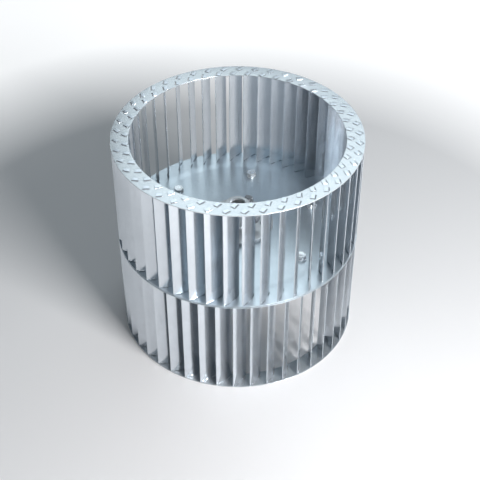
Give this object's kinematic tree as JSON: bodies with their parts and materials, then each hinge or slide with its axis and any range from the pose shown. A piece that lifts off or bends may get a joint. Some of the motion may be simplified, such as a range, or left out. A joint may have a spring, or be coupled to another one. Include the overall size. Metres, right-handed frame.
{
  "type": "centrifugal blower fan wheel",
  "caption": "Double-inlet blower wheel: two rings of forward-curved sheet blades tabbed to end rings and to back-to-back discs on a flanged hub.",
  "frame": {"origin": "on the wheel's axis, level with the folded tabs of the lower end ring that it stands on", "axes": "+Z along the shaft bore, out of the inlet that the hub's boss points to; +X and +Y square to it"},
  "size_m": [0.27, 0.27, 0.2504],
  "materials": {
    "ring_sheet": "galvanised, satin",
    "disc_sheet": "galvanised, satin",
    "blade_sheet": "galvanised, satin",
    "hub": "turned, dull zinc plate",
    "set_screws": "black oxide",
    "fasteners": "bright zinc plate",
    "rivets": "bright zinc plate"
  },
  "bodies": {
    "root": {"upper_end_ring": "ring_sheet", "lower_end_ring": "ring_sheet", "upper_disc": "disc_sheet", "lower_disc": "disc_sheet", "hub": "hub", "set_screws": "set_screws", "disc_bolts": "fasteners", "bolt_washers": "fasteners", "nut_washers": "fasteners", "disc_nuts": "fasteners", "hub_rivets": "rivets", "upper_blades_1": "blade_sheet", "upper_blades_2": "blade_sheet", "upper_blades_3": "blade_sheet", "upper_blades_4": "blade_sheet", "upper_blades_5": "blade_sheet", "upper_blades_6": "blade_sheet", "upper_blades_7": "blade_sheet", "upper_blades_8": "blade_sheet", "upper_blades_9": "blade_sheet", "upper_blades_10": "blade_sheet", "upper_blades_11": "blade_sheet", "upper_blades_12": "blade_sheet", "upper_blades_13": "blade_sheet", "upper_blades_14": "blade_sheet", "upper_blades_15": "blade_sheet", "lower_blades_1": "blade_sheet", "lower_blades_2": "blade_sheet", "lower_blades_3": "blade_sheet", "lower_blades_4": "blade_sheet", "lower_blades_5": "blade_sheet", "lower_blades_6": "blade_sheet", "lower_blades_7": "blade_sheet", "lower_blades_8": "blade_sheet", "lower_blades_9": "blade_sheet", "lower_blades_10": "blade_sheet", "lower_blades_11": "blade_sheet", "lower_blades_12": "blade_sheet", "lower_blades_13": "blade_sheet", "lower_blades_14": "blade_sheet", "lower_blades_15": "blade_sheet"}
  },
  "joints": []
}
